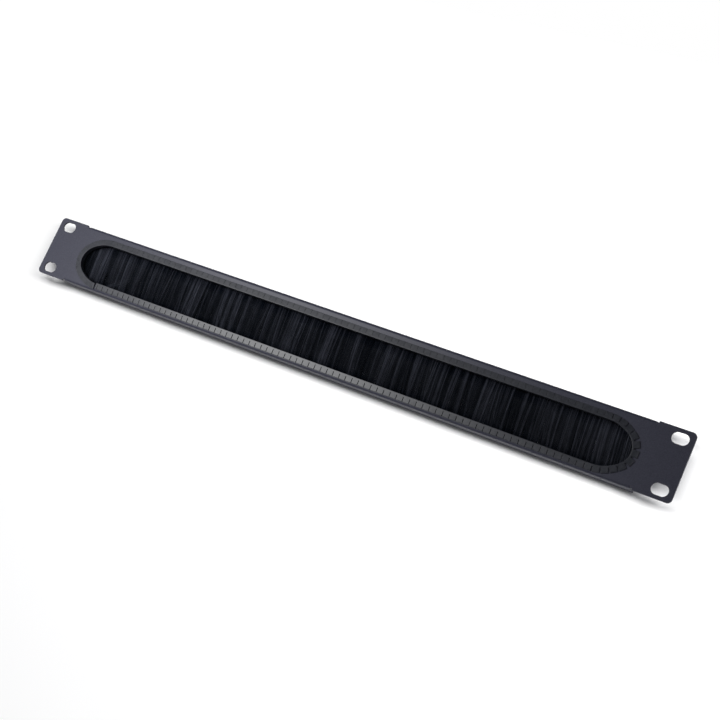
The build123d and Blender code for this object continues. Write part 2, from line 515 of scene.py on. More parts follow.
@dataclass(frozen=True)
class DrawnMetal:
    """Plain metal that was drawn or rolled along X, with fine lines that way."""

    name: str
    colour: Place
    dull: Place
    roughness: float
    roughness_changes: Pair = (-0.08, 0.1)
    line_width: float = 0.12
    line_length_share: float = 160.0
    line_height: float = 0.004
    cloud: float = 9.0
    cloud_length_share: float = 3.0

    def build(self) -> bpy.types.Material:
        """Builds the finish.

        Returns:
            The material.
        """
        shader = Shader(self.name)
        shader.set(Metallic=1.0)
        drawn = self.line_length_share, 1.0, 1.0
        lines = shader.noise(self.line_width, detail=3.0, roughness=0.7, stretch=drawn)
        cloud = shader.noise(self.cloud, detail=3.0, stretch=(self.cloud_length_share, 1.0, 1.0))
        shader.feed("Base Color", shader.ramp(cloud, [(0.35, self.dull), (0.65, self.colour)]))
        low, high = (self.roughness + change for change in self.roughness_changes)
        shader.feed("Roughness", shader.spread(lines, low, high))
        shader.bump(lines, self.line_height)
        return shader.material


@dataclass(frozen=True)
class BlackZinc:
    """Black zinc plating on a small screw."""

    dark: Place = (0.018, 0.018, 0.020)
    light: Place = (0.040, 0.040, 0.043)
    cloud: float = 0.8
    skin: float = 0.2
    skin_height: float = 0.004
    metallic: float = 0.6
    roughness: Pair = (0.3, 0.5)

    def build(self) -> bpy.types.Material:
        """Builds the finish.

        Returns:
            The material.
        """
        shader = Shader("black_zinc_screw")
        shader.set(Metallic=self.metallic)
        cloud = shader.noise(self.cloud, detail=4.0, roughness=0.65)
        shader.feed("Base Color", shader.ramp(cloud, [(0.3, self.dark), (0.7, self.light)]))
        shader.feed("Roughness", shader.spread(cloud, *self.roughness))
        shader.bump(shader.noise(self.skin), self.skin_height)
        return shader.material


@dataclass
class Opening:
    """The sheet's long cut-out, straight at the top and bottom, with three arcs round each end.

    At each end a tip arc lies between two wider flank arcs.
    """

    half_width: float = 210.75
    half_height: float = 15.275
    middle_z: float = -1.355
    end_reach_share: float = 1.356
    tip_radius_share: float = 0.784
    flank_steps: int = 18
    tip_steps: int = 40

    @property
    def straight_x(self) -> float:
        """Place along X where the straight runs end."""
        return self.half_width - self.end_reach_share * self.half_height

    @property
    def tip_radius(self) -> float:
        """Radius of the tip arcs."""
        return self.tip_radius_share * self.half_height

    @property
    def flank_radius(self) -> float:
        """Radius of the flank arcs, which touch the straight runs and the tip arcs."""
        ahead = self.end_reach_share * self.half_height - self.tip_radius
        drop = self.half_height - self.tip_radius
        return (ahead**2 + self.half_height**2 - self.tip_radius**2) / (2 * drop)

    @property
    def flank_turn(self) -> float:
        """Angle that a flank arc turns, in radians."""
        ahead = self.end_reach_share * self.half_height - self.tip_radius
        return QUARTER - math.atan2(self.flank_radius - self.half_height, ahead)

    def legs(self) -> list[tuple[Place, float, float, int]]:
        """Lists the arcs clockwise seen from the front, from the upper right.

        Returns:
            Each arc's centre, radius, turn in radians and steps.
        """
        sunk = self.flank_radius - self.half_height
        tip_x = self.half_width - self.tip_radius
        legs = []
        for side in (1, -1):
            flank = self.flank_radius, self.flank_turn, self.flank_steps
            tip = self.tip_radius, 2 * (QUARTER - self.flank_turn), self.tip_steps
            legs.append(((side * self.straight_x, 0.0, self.middle_z - side * sunk), *flank))
            legs.append(((side * tip_x, 0.0, self.middle_z), *tip))
            legs.append(((side * self.straight_x, 0.0, self.middle_z + side * sunk), *flank))
        return legs

    def trace(self, name: str, growth: float, depth: float) -> bpy.types.Object:
        """Traces the outline with one point that is drawn along the straights and spun round the arcs.

        Args:
            name: name of the new object.
            growth: how far outside the cut-out the line runs, in millimetres.
            depth: its place along Y.

        Returns:
            A closed line of edges.
        """
        top = self.middle_z + self.half_height + growth
        line = begin(bpy.ops.mesh.primitive_plane_add, size=1, location=(-self.straight_x, depth, top))
        line.name = name
        legs = self.legs()
        with editing(line):
            bpy.ops.mesh.select_all(action="SELECT")
            bpy.ops.mesh.merge(type="CENTER")
            for half, side in enumerate((1, -1)):
                stride = (2 * side * self.straight_x, 0, 0)
                bpy.ops.mesh.extrude_region_move(TRANSFORM_OT_translate={"value": stride})
                for centre, _, turn, steps in legs[3 * half : 3 * half + 3]:
                    bpy.ops.mesh.spin(steps=steps, angle=-turn, center=centre, axis=(0, 1, 0))
            bpy.ops.mesh.select_all(action="SELECT")
            bpy.ops.mesh.remove_doubles(threshold=TOUCH)
        return line

    def plug(self, name: str, growth: float, near: float, far: float) -> bpy.types.Object:
        """Makes a solid of the opening's outline.

        Args:
            name: name of the new object.
            growth: how far outside the cut-out it reaches.
            near: its front face along Y.
            far: its back face along Y.

        Returns:
            The solid.
        """
        plug = self.trace(name, growth, near)
        with editing(plug):
            bpy.ops.mesh.select_all(action="SELECT")
            bpy.ops.mesh.edge_face_add()
            bpy.ops.mesh.extrude_region_move(TRANSFORM_OT_translate={"value": (0, far - near, 0)})
        turn_outwards(plug)
        return plug

    def station(self, along: float, growth: float) -> tuple[Vector, float]:
        """Finds a place on the line that runs a given distance outside the cut-out.

        Args:
            along: distance from the upper left end of the top straight, clockwise.
            growth: how far outside the cut-out the line runs.

        Returns:
            The place, and the turn about Y that lays X along the line there.
        """
        straight = 2 * self.straight_x
        rest = along
        legs = self.legs()
        for half, side in enumerate((1, -1)):
            level = self.middle_z + side * (self.half_height + growth)
            if rest <= straight:
                start = -side * self.straight_x
                return Vector((start + side * rest, 0, level)), half * math.pi
            rest -= straight
            turned = half * math.pi
            for centre, radius, turn, _ in legs[3 * half : 3 * half + 3]:
                length = turn * (radius + growth)
                if rest <= length:
                    turned += rest / (radius + growth)
                    outward = Vector((math.sin(turned), 0, math.cos(turned)))
                    return Vector(centre) + (radius + growth) * outward, turned
                rest -= length
                turned += turn
        return self.station(rest, growth)

    def length(self, growth: float) -> float:
        """Gives the length of the line that runs a given distance outside the cut-out.

        Args:
            growth: how far outside the cut-out the line runs.

        Returns:
            The length.
        """
        arcs = sum(turn * (radius + growth) for _, radius, turn, _ in self.legs())
        return 4 * self.straight_x + arcs

    def reach(self, place: Vector) -> float:
        """Tells how far outside the cut-out a place lies.

        Args:
            place: the place, in millimetres.

        Returns:
            The distance, below zero inside the opening.
        """
        across, height = abs(place.x), abs(place.z - self.middle_z)
        if across <= self.straight_x:
            return height - self.half_height
        sunk = self.flank_radius - self.half_height
        ahead = across - self.straight_x
        if math.atan2(ahead, height + sunk) <= self.flank_turn:
            return math.hypot(ahead, height + sunk) - self.flank_radius
        return math.hypot(across - (self.half_width - self.tip_radius), height) - self.tip_radius


@dataclass(frozen=True)
class ScrewRow:
    """Where the screws stand that hold the rail under the top flange, and their holes' radius."""

    places: tuple[float, ...] = (-200.0, -100.0, 0.0, 100.0, 200.0)
    depth: float = BRUSH_Y
    hole: float = 1.3


@dataclass
class Faceplate:
    """The folded sheet: ears with slots, the cut-out, and a return flange at the top and the bottom."""

    opening: Opening
    screw_row: ScrewRow
    width: float = 482.6
    height: float = 43.6
    corner_radius: float = 3.0
    corner_steps: int = 10
    slot_spacing: Pair = (465.1, 31.75)
    slot_length: float = 10.6
    slot_width: float = 7.1
    slot_steps: int = 16
    flange_length: float = 432.6
    flange_depth: float = 10.8
    flange_step: float = 0.45
    bend_inner_radius: float = 0.4
    bend_steps: int = 10
    relief_width: float = 1.5
    relief_depth: float = 1.0
    shear_gap: float = 0.1
    screw_sink: float = 2.4
    hole_steps: int = 40
    edge_rounding: float = 0.16
    rim_flare_shares: Pair = (0.29, 2.42)
    rim_rise_shares: Pair = (0.71, 0.88)
    overrun: float = 1.0

    @property
    def flange_z(self) -> float:
        """Height of the upper flange's outer face."""
        return self.height / 2 - self.flange_step

    @property
    def bend_radius(self) -> float:
        """Outer radius of the bends."""
        return self.bend_inner_radius + SHEET

    @property
    def bend_z(self) -> float:
        """Height at which the upper bend starts."""
        return self.flange_z - self.bend_radius

    def blank(self) -> bpy.types.Object:
        """Makes the flat blank: rounded corners, and edges cut back to the bends between the ears.

        Returns:
            The blank.
        """
        half = self.width / 2, self.height / 2
        blank = block("faceplate_sheet", (-half[0], -SHEET, -half[1]), (half[0], 0, half[1]))
        with editing(blank):
            pick(blank, Element.EDGE, runs_through)
            bpy.ops.mesh.bevel(offset=self.corner_radius, segments=self.corner_steps, affect="EDGES")
        for edge in Edge:
            for cutter in self.edge_cutters(edge):
                combine(blank, cutter, Joining.CUT)
        soften(blank, self.edge_rounding)
        return blank

    def edge_cutters(self, edge: Edge) -> list[bpy.types.Object]:
        """Makes the blocks that cut the blank's edge back to the bend and punch the relief notches.

        Args:
            edge: the long edge.

        Returns:
            The blocks.
        """
        past = edge.value * (self.height / 2 + self.overrun)
        half = self.flange_length / 2
        cutters = []
        for reach, start in (
            (half, self.bend_z),
            (half + self.relief_width, self.height / 2 - self.relief_depth),
        ):
            low, high = sorted((edge.value * start, past))
            near, far = -SHEET - self.overrun, self.overrun
            cutters.append(block("edge_cutter", (-reach, near, low), (reach, far, high)))
        return cutters

    def slot(self, across: float, height: float) -> bpy.types.Object:
        """Makes the cutter of one mounting slot, flared where it leaves the sheet to round the rims.

        Args:
            across: the slot's middle along X.
            height: the slot's middle along Z.

        Returns:
            The cutter, with rounded ends.
        """
        half = self.slot_length / 2, self.slot_width / 2
        low = across - half[0], -SHEET + self.edge_rounding, height - half[1]
        cutter = block("slot_cutter", low, (across + half[0], -self.edge_rounding, height + half[1]))
        with editing(cutter):
            pick(cutter, Element.EDGE, runs_through)
            bpy.ops.mesh.bevel(offset=half[1], segments=self.slot_steps, affect="EDGES")
        turn_outwards(cutter)
        flares = [self.edge_rounding * share for share in self.rim_flare_shares]
        rises = [self.edge_rounding * share for share in self.rim_rise_shares]
        with editing(cutter):
            for side in (1, -1):
                pick(cutter, Element.FACE, lambda face: face.normal.y * side > FACING)
                before = 0.0
                for flare, rise in zip(flares, rises):
                    grown = [(size + flare) / (size + before) for size in half]
                    before = flare
                    bpy.ops.mesh.extrude_region_move(TRANSFORM_OT_translate={"value": (0, side * rise, 0)})
                    bpy.ops.transform.resize(
                        value=(grown[0], 1, grown[1]), center_override=(across, 0, height)
                    )
        return cutter

    def flange(self, edge: Edge) -> bpy.types.Object:
        """Folds one return flange: a strip of sheet is spun round the bend and drawn into the rack.

        Args:
            edge: the long edge that it hangs on.

        Returns:
            The flange, with its root inside the blank.
        """
        half = self.flange_length / 2 - self.shear_gap
        low, high = sorted((edge.value * (self.bend_z - SHEET), edge.value * self.bend_z))
        flange = block("flange", (-half, -SHEET, low), (half, 0, high))
        centre = 0, self.bend_inner_radius, edge.value * self.bend_z
        run = self.flange_depth - SHEET - self.bend_inner_radius
        with editing(flange):
            pick(flange, Element.FACE, lambda face: face.normal.z * edge.value > FACING)
            bpy.ops.mesh.spin(
                steps=self.bend_steps, angle=edge.value * QUARTER, center=centre, axis=(1, 0, 0)
            )
            bpy.ops.mesh.extrude_region_move(TRANSFORM_OT_translate={"value": (0, run, 0)})
        turn_outwards(flange)
        soften(flange, self.edge_rounding)
        return flange

    def countersink(self, across: float) -> bpy.types.Object:
        """Makes the cutter of one countersunk hole in the top flange.

        Args:
            across: the hole's place along X.

        Returns:
            The cutter: a pin under a cone.
        """
        top = self.flange_z
        foot = top - SHEET - self.overrun
        hole = self.screw_row.hole
        place = across, self.screw_row.depth, foot
        cutter = begin(
            bpy.ops.mesh.primitive_cylinder_add,
            vertices=self.hole_steps, radius=hole, depth=self.overrun, location=place,
        )
        sink = self.screw_sink - hole
        pin_top = top - sink
        flare = (self.screw_sink + self.overrun) / hole
        with editing(cutter):
            pick(cutter, Element.FACE, lambda face: face.normal.z > FACING)
            rise = pin_top - foot - self.overrun / 2
            bpy.ops.mesh.extrude_region_move(TRANSFORM_OT_translate={"value": (0, 0, rise)})
            bpy.ops.mesh.extrude_region_move(TRANSFORM_OT_translate={"value": (0, 0, sink + self.overrun)})
            bpy.ops.transform.resize(value=(flare, flare, 1))
        return cutter

    def build(self, coat: bpy.types.Material) -> None:
        """Builds the sheet, folds it and dresses it.

        Args:
            coat: the powder coat.
        """
        plate = self.blank()
        for edge in Edge:
            combine(plate, self.flange(edge), Joining.WELD, solver="MANIFOLD")
        plug = self.opening.plug("cut_out", 0, -SHEET - self.overrun, self.overrun)
        combine(plate, plug, Joining.CUT, solver="MANIFOLD")
        for side in (1, -1):
            for edge in Edge:
                centre = side * self.slot_spacing[0] / 2, edge.value * self.slot_spacing[1] / 2
                combine(plate, self.slot(*centre), Joining.CUT, solver="MANIFOLD")
        for across in self.screw_row.places:
            combine(plate, self.countersink(across), Joining.CUT, solver="MANIFOLD")
        smooth(plate)
        settle(plate, coat, ("faceplate",))


@dataclass
class EdgingStrip:
    """The slotted strip of U section: a web round the cut-out, and teeth on each side of the sheet."""

    opening: Opening
    web_thickness: float = 1.2
    web_clearance: float = 0.1
    lip_thickness: float = 1.0
    lip_clearance: float = 0.05
    front_reach: float = 3.05
    back_reach: float = 2.7
    taper: float = 0.45
    tooth_count: int = 184
    tooth_phase_share: float = 0.23
    tooth_gap: float = 0.42
    upper_gap: float = 0.14
    left_gap: float = -0.7
    web_rounding: float = 0.3
    tooth_rounding: float = 0.1
    sharp_root: float = 1.0
    tooth_lean: float = 0.5
    joint_to_end: float = 22.1
    joint_gap: float = 1.1
    joint_slant: float = 6.0
    lifted_run: float = 14.0
    lifted_drop: float = 0.75
    lifted_forward_share: float = 0.25
    straight_bend: float = 0.8
    fan_bend: float = 2.0
    proud_place: Place = (206.0, 0.0, 9.0)
    proud_reach: float = 2.4
    proud_bend: float = 2.6
    seed: int = 11

    @property
    def neutral(self) -> float:
        """Growth of the line along the web's middle, which keeps its length where the strip bends."""
        return -self.web_clearance - self.web_thickness / 2

    @property
    def front_y(self) -> float:
        """Place of the front lip's outer face along Y."""
        return -SHEET - self.lip_clearance - self.lip_thickness

    @property
    def back_y(self) -> float:
        """Place of the back lip's outer face along Y."""
        return self.lip_clearance + self.lip_thickness

    @property
    def pitch(self) -> float:
        """Distance from tooth to tooth along the web's middle."""
        return self.opening.length(self.neutral) / self.tooth_count

    def web(self) -> bpy.types.Object:
        """Makes the web: two traced lines, bridged and drawn through the sheet, with rounded inner edges.

        Returns:
            The web, a closed ring.
        """
        inner = -self.web_clearance - self.web_thickness
        lines = [
            self.opening.trace("web_inner", inner, self.front_y),
            self.opening.trace("web_outer", -self.web_clearance, self.front_y),
        ]
        web = gather(lines, "edging_strip")
        with editing(web):
            bpy.ops.mesh.select_all(action="SELECT")
            bpy.ops.mesh.bridge_edge_loops()
            bpy.ops.mesh.select_all(action="SELECT")
            depth = self.back_y - self.front_y
            bpy.ops.mesh.extrude_region_move(TRANSFORM_OT_translate={"value": (0, depth, 0)})
        turn_outwards(web)
        faces = self.front_y, self.back_y
        with editing(web):
            pick(
                web,
                Element.EDGE,
                lambda edge: all(
                    abs(self.opening.reach(end.co) - inner) < self.web_clearance
                    and min(abs(end.co.y - face) for face in faces) < TOUCH
                    for end in edge.verts
                )
                and abs(edge.verts[0].co.y - edge.verts[1].co.y) < TOUCH,
            )
            bpy.ops.mesh.bevel(offset=self.web_rounding, segments=4, affect="EDGES")
        return web

    def tooth(self, lip: Lip) -> bpy.types.Object:
        """Models one tooth at the origin, with X along the strip and Z as the distance outside the cut-out.

        Its root stays sharp, because the web hides it.

        Args:
            lip: the lip that it belongs to.

        Returns:
            The tooth, with its root inside the web.
        """
        half = (self.pitch - self.tooth_gap) / 2
        outer, seat, tip = (
            (self.front_y, -SHEET - self.lip_clearance, self.front_reach)
            if lip is Lip.FRONT
            else (self.back_y, self.lip_clearance, self.back_reach)
        )
        near, far = sorted((outer, seat))
        root = self.neutral + self.web_clearance
        tooth = block("tooth", (-half, near, root), (half, far, tip))
        with editing(tooth):
            pick(
                tooth,
                Element.EDGE,
                lambda edge: all(
                    end.co.z > tip - TOUCH and abs(end.co.y - outer) < TOUCH for end in edge.verts
                ),
            )
            bpy.ops.mesh.bevel(offset=2 * self.tooth_rounding, segments=2, affect="EDGES")
            foot = root + self.sharp_root
            pick(
                tooth,
                Element.EDGE,
                lambda edge: edge.calc_face_angle(0) > QUARTER / 2
                and max(end.co.z for end in edge.verts) > foot,
            )
            bpy.ops.mesh.bevel(offset=self.tooth_rounding, segments=2, affect="EDGES")
        return tooth

    def set_tooth(
        self, model: bpy.types.Object, number: int, lip: Lip, rng: np.random.Generator
    ) -> bpy.types.Object:
        """Copies a tooth to its place, turned as the strip runs there and bent a little by hand.

        Args:
            model: the tooth at the origin.
            number: the tooth's number along the strip.
            lip: the lip that it belongs to.
            rng: source of the small bends.

        Returns:
            The copy.
        """
        along = (number + self.tooth_phase_share) * self.pitch
        place, turned = self.opening.station(along, self.neutral)
        outward = Vector((math.sin(turned), 0, math.cos(turned)))
        fanned = abs(place.x) > self.opening.straight_x
        bend = rng.normal(0, self.fan_bend if fanned else self.straight_bend)
        if lip is Lip.FRONT and (place - Vector(self.proud_place)).length < self.proud_reach:
            bend = self.proud_bend
        bend = -math.radians(min(bend, self.proud_bend)) * lip.value
        lean = math.radians(rng.normal(0, self.tooth_lean))
        hinge = Matrix.Translation((0, self.front_y if lip is Lip.FRONT else self.back_y, 0))
        gap = self.tooth_gap
        if fanned and place.x < 0:
            gap = self.left_gap
        elif not fanned and place.z > self.opening.middle_z:
            gap = self.upper_gap
        widening = (self.pitch - gap) / (self.pitch - self.tooth_gap)
        copy = bpy.data.objects.new("tooth_copy", model.data.copy())
        bpy.context.scene.collection.objects.link(copy)
        copy.matrix_world = (
            Matrix.Translation(place - self.neutral * outward)
            @ Matrix.Rotation(turned, 4, "Y")
            @ hinge
            @ Matrix.Rotation(bend, 4, "X")
            @ Matrix.Rotation(lean, 4, "Z")
            @ hinge.inverted()
            @ Matrix.Diagonal((widening, 1, 1, 1))
        )
        return copy

    @property
    def lip_height(self) -> float:
        """Distance from the web's inner face to the tips of the front teeth."""
        return self.front_reach + self.web_clearance + self.web_thickness

    @property
    def joint_place(self) -> Vector:
        """Middle of the joint between the strip's two ends."""
        level = self.opening.middle_z - self.opening.half_height - self.lip_height / 2 + self.web_thickness
        return Vector((self.joint_to_end - self.opening.half_width, 0, level))

    def slope_lips(self, strip: bpy.types.Object) -> None:
        """Thins both lips from the web's inner edge out to the teeth's tips.

        Args:
            strip: the strip with its teeth.
        """
        seat = SHEET / 2 + self.lip_clearance
        inner = self.web_clearance + self.web_thickness
        for point in strip.data.vertices:
            from_middle = point.co.y + SHEET / 2
            proud = (abs(from_middle) - seat) / self.lip_thickness
            if proud > 0:
                share = (self.opening.reach(point.co) + inner) / (self.front_reach + inner)
                point.co.y -= math.copysign(self.taper * share * proud, from_middle)

    def joint_cutter(self) -> bpy.types.Object:
        """Makes the slanted block that parts the strip's two ends at the lower left.

        Returns:
            The cutter.
        """
        return begin(
            bpy.ops.mesh.primitive_cube_add,
            size=1,
            location=self.joint_place,
            rotation=(0, -math.radians(self.joint_slant), 0),
            scale=(self.joint_gap, 4 * self.back_y - 2 * self.front_y, 2 * self.lip_height),
        )

    def lift_end(self, strip: bpy.types.Object) -> None:
        """Eases the strip's left end down and forward at the joint, where it doesn't sit home.

        Args:
            strip: the finished strip.
        """
        slant = math.radians(self.joint_slant)
        across = Vector((math.cos(slant), 0, math.sin(slant)))
        for point in strip.data.vertices:
            before = (self.joint_place - point.co).dot(across)
            if point.co.z < self.opening.middle_z and 0 < before < self.lifted_run:
                share = (1 - before / self.lifted_run) ** 2
                point.co.z -= self.lifted_drop * share
                point.co.y -= self.lifted_drop * share * self.lifted_forward_share

    def build(self, nylon: bpy.types.Material) -> None:
        """Builds the strip and dresses it.

        Args:
            nylon: the moulded nylon.
        """
        rng = np.random.default_rng(self.seed)
        strip = self.web()
        for lip in Lip:
            model = self.tooth(lip)
            teeth = [self.set_tooth(model, number, lip, rng) for number in range(self.tooth_count)]
            bpy.data.meshes.remove(model.data)
            # Neighbours may touch, so every other tooth is welded at a time
            for first in range(2):
                toothing = gather(teeth[first::2], "toothing")
                take(toothing)
                bpy.ops.object.transform_apply(location=True, rotation=True, scale=True)
                combine(strip, toothing, Joining.WELD, solver="MANIFOLD")
        self.slope_lips(strip)
        combine(strip, self.joint_cutter(), Joining.CUT)
        self.lift_end(strip)
        smooth(strip)
        settle(strip, nylon, ("edge_grommet",))


@dataclass(frozen=True)
class Unevenness:
    """How the tufts of the brush differ, bunch by bunch and from one to the next.

    A width is in millimetres and a lean is a slope. Lean, and the logarithm of tone, are given as their mean
    and their spread, and widths, shades and pinch as the least and the most. More widths are drawn than the
    brush has room for, so that they always fill it.
    """

    widths: Pair = (0.2, 0.75)
    draws_per_millimetre: int = 9
    bunch: int = 8
    lean: Pair = (0.087, 0.035)
    lean_noise: float = 0.014
    # Shades and tone set how pale a tuft is painted: random by bunch, standing for painted sheen
    shades: Pair = (0.0, 1.7)
    tone: Pair = (-1.45, 1.2)
    pinch: Pair = (0.05, 0.45)
    depth_noise: float = 0.28


@dataclass
class Tufts:
    """Neighbouring tufts of bristles, one array entry a tuft, in millimetres."""

    edges: np.ndarray
    lean: np.ndarray
    pinch: np.ndarray
    depth: np.ndarray
    tone: np.ndarray

    @classmethod
    def grown(cls, half_length: float, habit: Unevenness, rng: np.random.Generator) -> Tufts:
        """Draws tufts of uneven width along the whole brush.

        Args:
            half_length: half of the brush's length.
            habit: how the tufts differ.
            rng: source of the unevenness.

        Returns:
            The tufts.
        """
        widths = rng.uniform(*habit.widths, size=round(habit.draws_per_millimetre * half_length))
        edges = np.concatenate(([0.0], np.cumsum(widths))) - half_length
        edges = edges[edges < half_length + widths.max()]
        count = len(edges) - 1
        bunch = np.arange(count) / habit.bunch
        bunches = np.arange(count // habit.bunch + 2)
        bends = rng.normal(*habit.lean, len(bunches))
        shades = rng.uniform(*habit.shades, len(bunches))
        # Tone is random by bunch and tuft; its pale end is painted sheen where bunches catch the light
        tone = np.interp(bunch, bunches, shades) * rng.lognormal(*habit.tone, count)
        return cls(
            edges=edges,
            lean=np.interp(bunch, bunches, bends) + rng.normal(0, habit.lean_noise, count),
            pinch=rng.uniform(*habit.pinch, count),
            depth=rng.normal(0.0, habit.depth_noise, count),
            tone=tone,
        )


@dataclass
class Brush:
    """The row of bristles, folded over a wire inside the channel and trimmed level at the tips.

    A row number tells how far back a filament stands in the brush, from minus one at the front to one at the
    rear. The lining is the share of the filaments that stand evenly spaced at the rear and close the gaps
    between tufts. Each patch of tone is a place along X and Z, its reach and the tone that it adds: some make
    the tone paler in patches, one is painted shade that darkens the left end of the brush and one is painted
    light that brightens its right end. The parting is a place along X and Z, its reach up and down and its
    width.
    """

    half_length: float = BRUSH_HALF
    depth: float = BRUSH_Y
    root_z: float = 14.45
    mouth_z: float = 13.9
    flare_z: float = 4.9
    tips_z: float = -17.55
    throat_half: float = 0.86
    curtain_half: float = 1.2
    filament: float = 0.1
    filament_tip_share: float = 0.6
    filament_cuts: int = 3
    filaments: int = 24000
    pieces: int = 5
    habit: Unevenness = Unevenness()
    lining_share: float = 0.4
    lining_rows: Pair = (0.4, 1.0)
    tuft_rows: Pair = (-1.0, 0.6)
    tip_noise: float = 0.25
    tip_most: float = 1.4
    lean_noise: float = 0.011
    lean_curve: float = 0.5
    bow: float = 0.2
    pinch_curve: float = 1.5
    inset: float = 0.5
    least_inset: float = 0.3
    tone_noise: Pair = (-0.3, 0.55)
    # Painted sheen: how pale the tufts are painted at the root, and how much that falls towards the tips
    sheen_at_root: float = 1.35
    sheen_fall: float = 0.85
    least_patch_share: float = 0.15
    fold_radius: float = 1.12
    fold_z: float = 15.65
    fold_foot_z: float = 14.43
    fold_steps: int = 20
    fold_tone: float = 0.15
    wire_radius: float = 0.48
    # Patches of tone: paler patches, painted shade at the left end (-209) and painted light at the right end
    # (189)
    haze_and_painted_light: tuple[tuple[float, float, float, float], ...] = (
        (-5.0, -10.5, 4.0, 0.6),
        (-37.0, -10.0, 5.0, 0.5),
        (-209.0, -2.0, 5.0, -1.0),
        (-192.0, 3.0, 13.0, 0.7),
        (189.0, 2.0, 11.0, 1.2),
    )
    parting: tuple[float, float, float, float] = (-187.0, -8.0, 4.5, 1.3)
    strays: int = 20
    stray_start: Pair = (-169.5, -4.0)
    stray_end: Pair = (-179.5, -14.5)
    stray_band: float = 4.5
    stray_climb_share: float = 0.2
    stray_noise: float = 0.5
    stray_drop_curve: float = 0.8
    stray_rise_curve: float = 0.3
    stray_layer: float = 0.2
    stray_tones: Pair = (0.4, 1.0)
    seed: int = 5

    def model_filament(self) -> tuple[np.ndarray, np.ndarray]:
        """Models one filament: a slim three-sided cone from Z 0 to 1, cut across at even steps.

        Returns:
            Its points and its faces, of which each row holds four corners or three and a minus one.
        """
        filament = begin(
            bpy.ops.mesh.primitive_cone_add,
            vertices=3, radius1=1.0, radius2=self.filament_tip_share, depth=1, location=(0, 0, 0.5),
        )
        with editing(filament):
            pick(filament, Element.EDGE, lambda edge: abs(edge.verts[0].co.z - edge.verts[1].co.z) > 0.5)
            bpy.ops.mesh.subdivide(number_cuts=self.filament_cuts)
        points = np.array([point.co for point in filament.data.vertices])
        faces = np.full((len(filament.data.polygons), 4), -1)
        for row, face in enumerate(filament.data.polygons):
            faces[row, : len(face.vertices)] = face.vertices[:]
        bpy.data.meshes.remove(filament.data)
        return points, faces

    def lines(self, rng: np.random.Generator, steps: np.ndarray) -> tuple[np.ndarray, np.ndarray]:
        """Works out the middle line and the tone of every filament.

        Args:
            rng: source of the unevenness.
            steps: shares of a filament's length at which its line is wanted.

        Returns:
            Places, as filament by step by axis, and tones, as filament by step.
        """
        tufts = Tufts.grown(self.half_length, self.habit, rng)
        count = self.filaments
        start = (np.arange(count) + rng.uniform(0, 1, count)) / count * 2 * self.half_length
        start -= self.half_length
        lining = rng.random(count) < self.lining_share
        tuft = np.searchsorted(tufts.edges, start) - 1
        tuft = np.clip(tuft, 0, len(tufts.lean) - 1)
        middle = (tufts.edges[tuft] + tufts.edges[tuft + 1]) / 2
        start[lining] = np.linspace(-self.half_length, self.half_length, lining.sum())
        row = np.where(lining, rng.uniform(*self.lining_rows, count), rng.uniform(*self.tuft_rows, count))
        tip = self.tips_z + rng.exponential(self.tip_noise, count).clip(0, self.tip_most)
        lean = tufts.lean[tuft] + rng.normal(0, self.lean_noise, count)
        lean = np.where(lining, tufts.lean.mean(), lean)
        bow = np.where(lining, 0.0, rng.normal(0, self.bow, count))
        pinch = np.where(lining, 0.0, tufts.pinch[tuft])
        down = steps[None, :]
        height = self.root_z + (tip - self.root_z)[:, None] * down
        fallen = (self.root_z - height) * down**self.lean_curve
        across = start[:, None] + lean[:, None] * fallen + bow[:, None] * 4 * down * (1 - down)
        across += (middle - start)[:, None] * pinch[:, None] * down**self.pinch_curve
        x, z, reach, width = self.parting
        beside = across - x + lean.mean() * (height - z)
        near = np.exp(-((beside / width) ** 2) - ((height - z) / reach) ** 2)
        across += np.where(lining, 0.0, 1.0)[:, None] * np.sign(beside) * width * near
        across = across.clip(-self.half_length + self.filament, self.half_length - self.filament)
        flare = ((self.mouth_z - height) / (self.mouth_z - self.flare_z)).clip(0, 1)
        half = self.throat_half + (self.curtain_half - self.throat_half) * flare
        inset = 1 - self.inset * np.abs(tufts.depth[tuft])[:, None] * flare
        into = self.depth + row[:, None] * half * inset.clip(self.least_inset, 1)
        tone = tufts.tone[tuft] * rng.lognormal(*self.tone_noise, count)
        # Painted sheen: tufts are painted paler near the root and darker towards the tips
        tone = tone[:, None] * (self.sheen_at_root - self.sheen_fall * down)
        # Patches raise or lower the tone: the darkening one is painted shade, the right-end one is painted
        # light
        for x, z, reach, gain in self.haze_and_painted_light:
            near = np.exp(-((across - x) ** 2 + (height - z) ** 2) / (2 * reach**2))
            tone = tone + gain * near * (self.least_patch_share + tufts.tone[tuft])[:, None]
        places = np.stack((across, into, height), axis=2)
        stray, stray_tone = self.stray_lines(rng, steps)
        return np.concatenate((stray, places)), np.concatenate((stray_tone, tone)).clip(0, 1)

    def stray_lines(self, rng: np.random.Generator, steps: np.ndarray) -> tuple[np.ndarray, np.ndarray]:
        """Works out the filaments that lie askew over the others near the left end.

        Args:
            rng: source of the unevenness.
            steps: shares of a filament's length at which its line is wanted.

        Returns:
            Places and tones, as for the other filaments.
        """
        one_each = self.strays, 1
        shift = rng.uniform(-self.stray_band, self.stray_band, one_each)
        (x, z), (end_x, end_z) = self.stray_start, self.stray_end
        down = steps[None, :]
        across = x + shift + (end_x - x) * down + rng.normal(0, self.stray_noise, one_each) * down
        height = z + shift * self.stray_climb_share + (end_z - z) * down**self.stray_drop_curve
        height += rng.normal(0, self.stray_noise, one_each)
        into = self.depth - self.curtain_half * down**self.stray_rise_curve
        into = into + rng.uniform(0, self.stray_layer, one_each)
        tone = np.broadcast_to(rng.uniform(*self.stray_tones, one_each), across.shape)
        return np.stack((across, into, height), axis=2), tone

